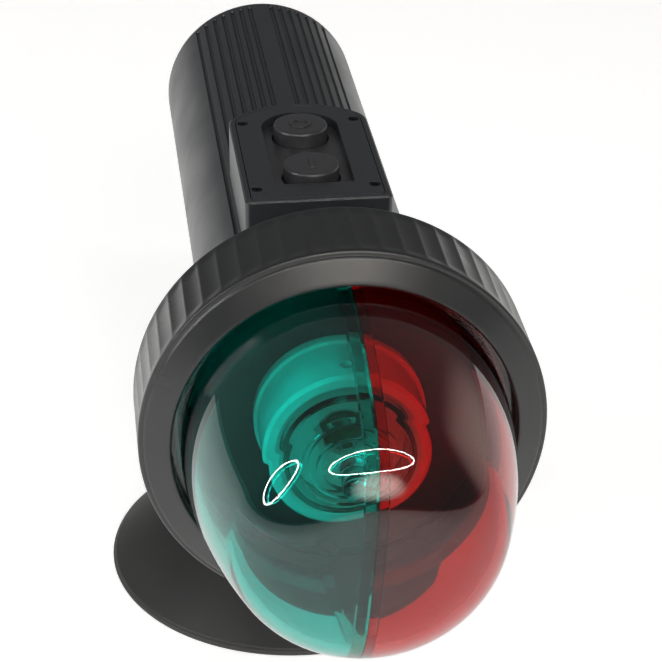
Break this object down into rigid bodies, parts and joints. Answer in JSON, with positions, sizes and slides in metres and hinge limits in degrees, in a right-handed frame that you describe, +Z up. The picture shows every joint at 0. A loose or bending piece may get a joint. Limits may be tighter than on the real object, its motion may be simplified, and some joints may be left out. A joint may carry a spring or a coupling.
{
  "type": "navigation light",
  "caption": "Battery navigation light: two-colour dome on a round handle with push buttons, on a tilting bracket with a suction cup.",
  "frame": {"origin": "centre of the suction cup's rim, on the surface the cup stands on", "axes": "+Z up, away from the surface; the dome points along -Y; +Y runs back along the handle"},
  "size_m": [0.0786, 0.1945, 0.117],
  "materials": {
    "black_abs": "satin moulded ABS, fine texture",
    "ring_abs": "satin moulded ABS, smoother on the face",
    "black_nylon": "moulded glass-filled nylon, matte",
    "white_nylon": "turned nylon",
    "cup_rubber": "moulded rubber, dull",
    "button_rubber": "moulded silicone rubber",
    "green_polycarbonate": "clear tinted polycarbonate, polished",
    "red_polycarbonate": "clear tinted polycarbonate, polished",
    "white_abs": "glossy moulded ABS",
    "clear_acrylic": "clear moulded acrylic",
    "board": "glass-epoxy board with solder resist",
    "brass": "stamped brass, bright",
    "steel": "zinc-plated steel",
    "black_steel": "steel with a black oxide finish",
    "spring_wire": "drawn stainless spring wire",
    "cell_case": "printed metal jacket of a dry cell"
  },
  "bodies": {
    "cup": {"suction_cup": "cup_rubber", "cup_stud": "steel", "stud_washer": "steel", "stud_nut": "steel"},
    "fork": {"swivel_fork": "black_nylon", "pivot_bolt": "steel", "pivot_washers": "white_nylon"},
    "lamp": {"handle_body": "black_abs", "cover_plate": "black_abs", "cover_screws": "black_steel", "keypad_sheet": "button_rubber", "switch_board": "board", "switch_leads": "brass", "green_lens": "green_polycarbonate", "red_lens": "red_polycarbonate", "lens_seal": "cup_rubber", "lamp_carrier": "black_abs", "lamp_holder": "white_abs", "lamp_cap": "clear_acrylic", "led_lamp": "clear_acrylic", "led_board": "board", "front_contact": "brass", "battery_front": "cell_case", "battery_rear": "cell_case", "battery_spring": "spring_wire", "contact_strip": "brass", "tilt_saddle": "black_nylon", "saddle_screws": "steel", "on_spring": "spring_wire", "off_spring": "spring_wire"},
    "ring": {"lens_ring": "ring_abs"},
    "on_button": {"on_button": "button_rubber"},
    "off_button": {"off_button": "button_rubber"},
    "knob": {"clamp_knob": "black_nylon", "knob_insert": "brass"}
  },
  "joints": [
    {"name": "base_swivel", "type": "hinge", "parent": "cup", "child": "fork", "pos_m": [0, 0, 0.022], "axis": [0, 0, 1], "continuous": true},
    {"name": "lamp_tilt", "type": "hinge", "parent": "fork", "child": "lamp", "pos_m": [0, 0, 0.045], "axis": [1, 0, 0], "range_deg": [-40, 25]},
    {"name": "knob_turn", "type": "hinge", "parent": "fork", "child": "knob", "pos_m": [0.02, 0, 0.045], "axis": [1, 0, 0], "range_deg": [0, 360]},
    {"name": "ring_turn", "type": "hinge", "parent": "lamp", "child": "ring", "pos_m": [0, -0.077, 0.082], "axis": [0, -1, 0], "range_deg": [0, 40]},
    {"name": "on_press", "type": "slide", "parent": "lamp", "child": "on_button", "axis": [0, 0, -1], "range_m": [0, 0.0015], "stiffness_N_per_m": 900, "springref_m": -0.001, "deforming": ["on_spring"]},
    {"name": "off_press", "type": "slide", "parent": "lamp", "child": "off_button", "axis": [0, 0, -1], "range_m": [0, 0.0015], "stiffness_N_per_m": 900, "springref_m": -0.001, "deforming": ["off_spring"]}
  ]
}
